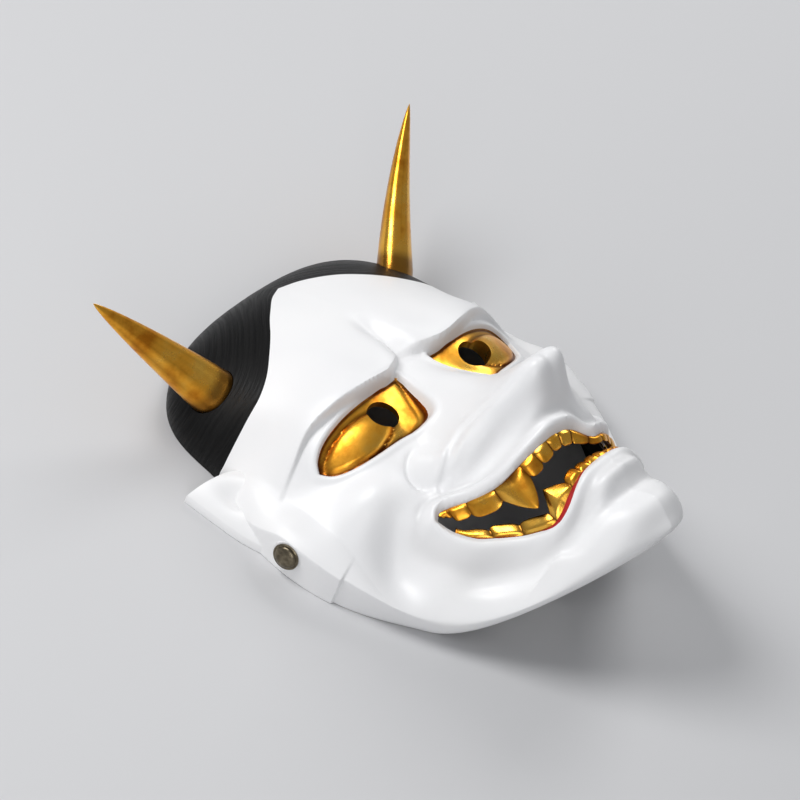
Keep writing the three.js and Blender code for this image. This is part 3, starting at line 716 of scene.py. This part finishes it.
def open_edges(faces):
    """The directed edges that only one triangle uses."""
    directed = np.concatenate([faces[:, [0, 1]], faces[:, [1, 2]], faces[:, [2, 0]]])
    key = np.sort(directed, axis=1)
    _, inverse, count = np.unique(key, axis=0, return_inverse=True, return_counts=True)
    return directed[count[inverse.ravel()] == 1]


def hollow_sheet():
    """The hollow as a tool: the soft surface moved in by the wall, and carried down past the rim."""
    columns, rows = ((84, 92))
    u, v = np.meshgrid(spread(columns), spread(rows))
    u, v = u.ravel(), v.ravel()
    e = 0.03
    east = square_points(np.minimum(u + e, 1), v, True)
    west = square_points(np.maximum(u - e, -1), v, True)
    north = square_points(u, np.minimum(v + e, 1), True)
    south = square_points(u, np.maximum(v - e, -1), True)
    normal = np.cross(east - west, north - south)
    normal /= np.linalg.norm(normal, axis=1, keepdims=True)
    points = square_points(u, v, True)
    at_edge = np.maximum(np.abs(u), np.abs(v)) > 0.999
    out = points - (0, MIDDLE_Y, 0)
    out[:, 2] = 0
    out /= np.maximum(np.linalg.norm(out, axis=1, keepdims=True), 1e-6)
    points -= np.where(at_edge[:, None], out * RIM_WIDTH, normal * WALL)
    inner = np.maximum(np.abs(u), np.abs(v)) < 0.9
    reach = 1.5
    around = ((0, 0), (reach, 0), (-reach, 0), (0, reach), (0, -reach))
    lowest = np.min([face_height(points[:, 0] + dx, points[:, 1] + dy) for dx, dy in around], axis=0)
    points[:, 2] = np.where(inner, np.minimum(points[:, 2], lowest - THINNEST), points[:, 2])
    faces = grid_faces(columns, rows)
    edge = grid_edge(columns, rows)
    lower = len(points) + np.arange(len(edge))
    points = np.concatenate([points, points[edge] - (0, 0, TOOL_REACH), [[0, MIDDLE_Y, -TOOL_REACH]]])
    after, lower_after = np.roll(edge, -1), np.roll(lower, -1)
    tip = np.full(len(edge), len(points) - 1)
    upright = [np.stack([after, edge, lower], 1), np.stack([after, lower, lower_after], 1)]
    faces = np.concatenate([faces, *upright, np.stack([lower_after, lower, tip], 1)])
    return new_object("hollow", points, faces, SHELL_PAINTS, np.full(len(faces), INSIDE))


# The ear's outer edge by Y
ear_edge = curve((24, 86.5), (38, 91), (52, 93), (66.5, 94.5))


def ear(side):
    columns, rows = 36, 44
    v, u = np.meshgrid(np.linspace(0, 1, columns + 1), np.linspace(0, 1, rows + 1))
    v, u = v.ravel(), u.ravel()
    y = EAR_ROOT + (EAR_TIP - 7.5 * v + 3 * v * (1 - v) - EAR_ROOT) * u
    edge = ear_edge(y)
    x = edge + (EAR_INNER - edge) * v
    scoop = 4 * mound(u - 0.66, 0.2, v - 0.5, 0.22)
    z = WALL + (EAR_CREST - WALL) * np.sin(v * math.pi / 2) ** 0.9 - scoop - 4 * v * u**6
    top = np.stack([side * x, y, z], 1)
    under = np.stack([side * x, y, np.maximum(z - WALL, 0)], 1)
    count = len(top)
    sheet = grid_faces(columns, rows)
    ring = grid_edge(columns, rows)
    after = np.roll(ring, -1)
    wall = [np.stack([ring, after, after + count], 1), np.stack([ring, after + count, ring + count], 1)]
    faces = np.concatenate([sheet[:, ::-1], sheet + count, *wall])
    if side < 0:
        faces = faces[:, ::-1]
    return new_object("ear", np.concatenate([top, under]), faces, SHELL_PAINTS, np.full(len(faces), WHITE))


def cylinder(radius, low, high, origin, axes, sides=RIVET_SIDES, paint=WHITE):
    a = np.linspace(0, 2 * math.pi, sides, endpoint=False)
    ring = np.stack([radius * np.cos(a), radius * np.sin(a), np.zeros(sides)], 1)
    sections = np.array([ring + (0, 0, low), ring + (0, 0, high)]) @ axes + origin
    points, faces = rings(sections)
    return new_object("tool", points, faces, SHELL_PAINTS, np.full(len(faces), paint))


def horn_mesh(side, grow):
    foot = np.array([side * HORN_X, HORN_Y, face_height(HORN_X, HORN_Y)[0]])
    origin, axes = frame_at(foot, HORN_AIM * (side, 1, 1), (side * 0.71, 0, -0.7))
    start = -HORN_FOOT - (TOOL_REACH if grow > 0 else 0)
    along = start + (HORN_LENGTH - start) * np.linspace(0, 1, HORN_STEPS + 1)[:-1]
    if grow == 0:
        along = np.concatenate([along, [HORN_LENGTH * 0.994, HORN_LENGTH * 0.9985]])
    share = np.clip(along / HORN_LENGTH, 0, 1)
    taper = (1 - share) ** 0.72
    bend = HORN_BEND * 4 * share * (1 - share) * side
    a = np.linspace(0, 2 * math.pi, HORN_SIDES, endpoint=False)
    x = (HORN_WIDTH / 2 * taper[:, None] + grow) * np.cos(a)
    y = (HORN_THICKNESS / 2 * taper[:, None] + grow) * np.sin(a) + bend[:, None]
    z = np.repeat(along[:, None], HORN_SIDES, 1)
    return rings(np.stack([x, y, z], -1) @ axes + origin)


def horn_tool(side):
    points, faces = horn_mesh(side, FIT_GAP)
    return new_object("tool", points, faces, SHELL_PAINTS, np.full(len(faces), INSIDE))


def pupil_tool(side):
    place = (side * PUPIL_X, PUPIL_Y, face_height(PUPIL_X, PUPIL_Y)[0])
    tilt = math.radians(PUPIL_SPLAY)
    origin, axes = frame_at(place, (side * math.sin(tilt), 0, math.cos(tilt)), (1, 0, 0))
    return cylinder(PUPIL_RADIUS, -20, 20, origin, axes, PUPIL_SIDES, GOLD)


def mouth_tool():
    """The opening between the lips, as an upright block with the lips' outline."""
    steps, low, high = 180, 20.0, 112.0
    x = MOUTH_CORNER * np.sin(np.linspace(-math.pi / 2, math.pi / 2, steps + 1))
    top, bottom = upper_lip(x), lower_lip(x)
    top[[0, -1]] = bottom[[0, -1]] = (top[[0, -1]] + bottom[[0, -1]]) / 2
    loop = np.concatenate([np.stack([x, bottom], 1), np.stack([x, top], 1)[-2:0:-1]])
    count = len(loop)
    points = np.concatenate([np.c_[loop, np.full(count, low)], np.c_[loop, np.full(count, high)]])
    faces = [(i, (i + 1) % count, (i + 1) % count + count, i + count) for i in range(count)]
    faces += [tuple(range(count - 1, -1, -1)), tuple(range(count, 2 * count))]
    index = np.concatenate([np.where(np.arange(count) < steps, RED, WHITE), [INSIDE, INSIDE]])
    return new_object("tool", points, faces, SHELL_PAINTS, index)


def rivet_frame(side):
    place = (side * (HALF_WIDTH + 0.4 + PLATE_RISE), RIVET_Y, RIVET_Z)
    return frame_at(place, (side * 0.97, -0.12, 0.1), (0, 1, 0))


face = outer_sheet()
for side in (-1, 1):
    combine(face, ear(side), "UNION")
    combine(face, cylinder(RIVET_CAP / 2 + 0.6, -RIVET_GRIP, 0, *rivet_frame(side)), "UNION")
combine(face, hollow_sheet(), "DIFFERENCE")
for side in (-1, 1):
    combine(face, pupil_tool(side), "DIFFERENCE")
    combine(face, horn_tool(side), "DIFFERENCE")
    bores = (
        (RIVET_BACK / 2 + 1, -RIVET_GRIP - 9, -RIVET_GRIP),
        (RIVET_SHANK / 2 + FIT_GAP, -RIVET_GRIP - 1, 1),
    )
    for radius, low, high in bores:
        combine(face, cylinder(radius, low, high, *rivet_frame(side), paint=INSIDE), "DIFFERENCE")
combine(face, mouth_tool(), "DIFFERENCE")
face.data.polygons.foreach_set("use_smooth", np.ones(len(face.data.polygons), bool))
face.data.set_sharp_from_angle(angle=math.radians(48))

# What the paints read from the mesh: painted shade in brown on the gold, painted shade in grey in the creases
# of the white, and the way the hair is combed
coordinates = np.empty(len(face.data.vertices) * 3, dtype=np.float32)
face.data.vertices.foreach_get("co", coordinates)
x, y, z = coordinates.reshape(-1, 3).T * 1000.0
y = y - SHIFT_Y
lid = inside_eye(np.abs(x), y)
ball = eyeball(np.abs(x), y)
# painted shade on the gold: along the eye's edge behind the lid and in the groove round the eyeball
store(face, "painted_shade", np.clip(bell(lid - 0.5, 1.0) + 0.8 * bell(ball - 1.08, 0.09) * step(0.5, 2, lid), 0, 1))
lips = inside_mouth(x, y)
# painted shade on the white: grey along the lips' edge, the eye's edge, the groove round the lips and under
# the brows
painted_crease_shade = 0.7 * bell(lips + 0.2, 0.9) + 0.5 * bell(lid + 0.3, 1.2) + 0.35 * bell(lips + 7, 2)
painted_crease_shade += 0.3 * bell(y - brow_line(np.abs(x)) + 1, 1.6) * step(76, 60, np.abs(x))
store(face, "painted_crease_shade", np.clip(painted_crease_shade, 0, 1))
flow = y - hair_line(np.abs(x))
store(face, "combed", np.stack([flow + 0.12 * z, np.arctan2(x, y) * 100, z], 1) / 1000)
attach(face, "root")
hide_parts("mask_shell")

# Teeth
# Each tooth: where it starts and ends, as distances from the middle, its length, and 1 for a pointed fang
UPPER_TEETH = [
    (0, 6.8, 6.8, 0), (6.8, 13.4, 7, 0), (13.4, 19.6, 7.4, 0), (19.6, 25.2, 8, 0), (25.2, 33.4, 18, 1),
    (33.4, 39.4, 8.8, 0), (39.4, 44, 7.2, 0), (44, 47.5, 5.2, 0),
]
LOWER_TEETH = [
    (0, 5.6, 5.4, 0), (5.6, 11.2, 5.6, 0), (11.2, 17.4, 6.2, 0), (17.4, 27, 12, 1), (27, 34, 6.4, 0),
    (34, 40.6, 6, 0), (40.6, 47.5, 4.6, 0),
]
TOOTH_ROOT = 4.0
TOOTH_SET_BACK = 1.7
TOOTH_LEAN = 0.5  # 1 hangs a tooth square to the lip, 0 straight down the face
FRONT_BULGE = 1.9
BACK_DEPTH = 2.4
ROW_STEPS, CUT_POINTS, SMOOTHED = 561, 36, 41


def row_of_teeth(name, lip, teeth, down):
    """One band of teeth: every cut across it is a rounded blade that hangs from the lip."""
    reach = teeth[-1][1]
    a = np.linspace(-reach, reach, ROW_STEPS)
    length, bulge, painted_shade = np.zeros_like(a), np.zeros_like(a), np.zeros_like(a)
    for first, last, tall, pointed in teeth:
        held = (np.abs(a) >= first) & (np.abs(a) <= last)
        t = np.clip((np.abs(a) - (first + last) / 2) / ((last - first) / 2), -1, 1)
        if pointed:
            shape = 0.36 + 0.64 * (1 - np.abs(t) ** 1.15)
        else:
            shape = 0.8 + 0.2 * (1 - np.abs(t) ** 5) - 0.05 * t**2
        length = np.where(held, tall * shape, length)
        bulge = np.where(held, 0.45 + 0.55 * (1 - np.abs(t) ** 3.5), bulge)
        # painted shade at each tooth's sides, where it meets the next
        painted_shade = np.where(held, np.abs(t) ** 6, painted_shade)
    ends = step(reach, reach - 4, np.abs(a))
    length, bulge = length * (0.5 + 0.5 * ends), bulge * (0.6 + 0.4 * ends)
    length *= (upper_lip(a) - lower_lip(a)) / (lip_top(np.abs(a)) - lower_lip(a))
    y = lip(a)
    # the lip's height and slopes, smoothed along the row
    behind, ahead = 6.0, 2.4
    z = face_height(a, y + down * 0.8)
    rise_y = face_height(a, y + down * behind) - face_height(a, y - down * ahead)
    slope_y = rise_y / (behind + ahead) * down
    slope_x = np.gradient(z, a)
    kernel = np.ones(SMOOTHED) / SMOOTHED
    smooth = lambda q: np.convolve(np.pad(q, SMOOTHED // 2, mode="edge"), kernel, "valid")
    slope_x, slope_y, z = smooth(slope_x), np.clip(smooth(slope_y), -0.6, 0.6), smooth(z)
    normal = np.stack([-slope_x, -slope_y, np.ones_like(a)], 1)
    normal /= np.linalg.norm(normal, axis=1, keepdims=True)
    along = np.stack([np.ones_like(a), TOOTH_LEAN * np.gradient(y, a), slope_x], 1)
    hang = np.cross(along, normal) * down
    hang /= np.linalg.norm(hang, axis=1, keepdims=True)
    origin = np.stack([a, y, z], 1) - normal * TOOTH_SET_BACK
    # a cut across the band: fall goes from 0 at the root to 1 at the tooth's edge
    turn = np.linspace(0, 2 * math.pi, CUT_POINTS, endpoint=False)
    fall = (1 - np.cos(turn)) / 2
    side = np.sign(np.sin(turn)) * np.abs(np.sin(turn)) ** 0.75
    reach_down = -TOOTH_ROOT + (length[:, None] + TOOTH_ROOT) * fall
    thin = 1 - 0.55 * fall**2
    leaving = (TOOTH_ROOT / (length + TOOTH_ROOT))[:, None]
    front = 0.4 + (FRONT_BULGE * bulge[:, None] - 0.4) * step(leaving, leaving + 0.2, fall)
    out = np.where(side > 0, front, BACK_DEPTH) * side * thin
    sections = origin[:, None] + hang[:, None] * reach_down[..., None] + normal[:, None] * out[..., None]
    points, faces = rings(sections)
    made = new_object(name, points, faces, [TOOTH_GOLD])
    turn_faces_out(made)
    # painted shade: darker between the teeth, towards the roots and over the backs, which face into the mouth
    painted_shade_level = np.clip(painted_shade[:, None] + 0.9 * step(0.45, 0.22, fall)[None] + 0.85 * (side < 0.02), 0, 1)
    store(made, "painted_shade", painted_shade_level.ravel())
    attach(made, "root")


row_of_teeth("teeth_upper", upper_lip, UPPER_TEETH, 1)
row_of_teeth("teeth_lower", lower_lip, LOWER_TEETH, -1)

# Horns and rivets
def add_horn(side, word):
    points, faces = horn_mesh(side, 0)
    horn = new_object("horn_" + word + "_cast", points, faces, [HORN_GOLD])
    turn_faces_out(horn)
    horn.data.set_sharp_from_angle(angle=math.radians(50))
    # painted shade in brown round the horn's foot at the socket, and painted shade in a streak down one side
    # of the horn with faint streaks round it
    turn = np.linspace(0, 2 * math.pi, HORN_SIDES, endpoint=False)
    streak = 0.5 * bell(np.sin(turn + 0.9 * side), 0.16) + 0.16 * np.sin(turn * 7) ** 8
    level = np.linspace(0, 1, len(points) // HORN_SIDES)[:, None]
    painted_shade_level = 0.75 * step(0.16, 0.09, level) + streak[None] * step(0.1, 0.3, level) * step(0.97, 0.6, level)
    store(horn, "painted_shade", np.clip(painted_shade_level, 0, 1).ravel())
    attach(horn, "root")
    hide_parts("horn_" + word)


def add_rivet(side, word):
    """A ridged dome outside the plate, a shank through it and a disc inside."""
    cap, back = RIVET_CAP / 2, -RIVET_GRIP - FIT_GAP
    rise = np.linspace(0, math.pi / 2, 14)[:-1]
    rim = FIT_GAP + 0.5
    # radius and height, from the disc inside out to the top of the dome
    profile = [
        (0.01, back - RIVET_BACK_THICKNESS), (RIVET_BACK / 2 - 0.3, back - RIVET_BACK_THICKNESS),
        (RIVET_BACK / 2, back - RIVET_BACK_THICKNESS + 0.3), (RIVET_BACK / 2, back), (RIVET_SHANK / 2, back),
        (RIVET_SHANK / 2, FIT_GAP), (cap - 0.2, FIT_GAP), (cap, FIT_GAP + 0.2), (cap, rim),
        (cap - 0.35, rim + 0.3), (cap - 0.8, rim + 0.15), (cap - 1.0, rim + 0.2),
    ]
    profile += [((cap - 1.0) * math.cos(a), rim + 0.2 + (RIVET_RISE - 0.8) * math.sin(a)) for a in rise[1:]]
    profile += [(0.01, FIT_GAP + RIVET_RISE)]
    turn = np.linspace(0, 2 * math.pi, RIVET_SIDES, endpoint=False)
    circle = np.stack([np.cos(turn), np.sin(turn)], 1)
    sections = np.array([np.c_[radius * circle, np.full(RIVET_SIDES, height)] for radius, height in profile])
    origin, axes = rivet_frame(side)
    points, faces = rings(sections @ axes + origin)
    rivet = new_object("rivet_" + word + "_snap", points, faces, [BRONZE])
    rivet.data.set_sharp_from_angle(angle=math.radians(40))
    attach(rivet, "root")
    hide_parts("rivet_" + word)


for side, word in ((1, "left"), (-1, "right")):
    add_horn(side, word)
    add_rivet(side, word)

# Floor and light
FLOOR_HALF, FLOOR_DROP = 6.0, 0.0002  # in metres
floor_mesh = bpy.data.meshes.new("floor")
corners = [(FLOOR_HALF * i, FLOOR_HALF * j, 0) for i, j in ((-1, -1), (1, -1), (1, 1), (-1, 1))]
floor_mesh.from_pydata(corners, [], [(0, 1, 2, 3)])
floor = bpy.data.objects.new("floor", floor_mesh)
bpy.context.scene.collection.objects.link(floor)
floor.location.z = -FLOOR_DROP
floor_mesh.materials.append(material("pale_floor", (0.62, 0.62, 0.63), 0.6)[0])


LIT_POINT = Vector((0, 0, 0.03))
LIGHTS = (
    ("key_light", (-0.55, 0.75, 1.1), 0.7, 13),
    ("fill_light", (-1.2, -0.6, 0.7), 0.9, 5),
    ("rim_light", (0.9, 0.3, 0.8), 0.6, 4),
)
for name, place, size, power in LIGHTS:
    data = bpy.data.lights.new(name, "AREA")
    data.shape = "DISK"
    data.size = size
    data.energy = power
    lamp = bpy.data.objects.new(name, data)
    bpy.context.scene.collection.objects.link(lamp)
    lamp.location = place
    lamp.rotation_euler = (LIT_POINT - Vector(place)).to_track_quat("-Z", "Y").to_euler()

world = bpy.data.worlds.new("studio")
world.use_nodes = True
background = world.node_tree.nodes["Background"]
background.inputs["Color"].default_value = (0.75, 0.77, 0.8, 1)
background.inputs["Strength"].default_value = 0.35
bpy.context.scene.world = world
bpy.context.scene.view_settings.view_transform = "Standard"
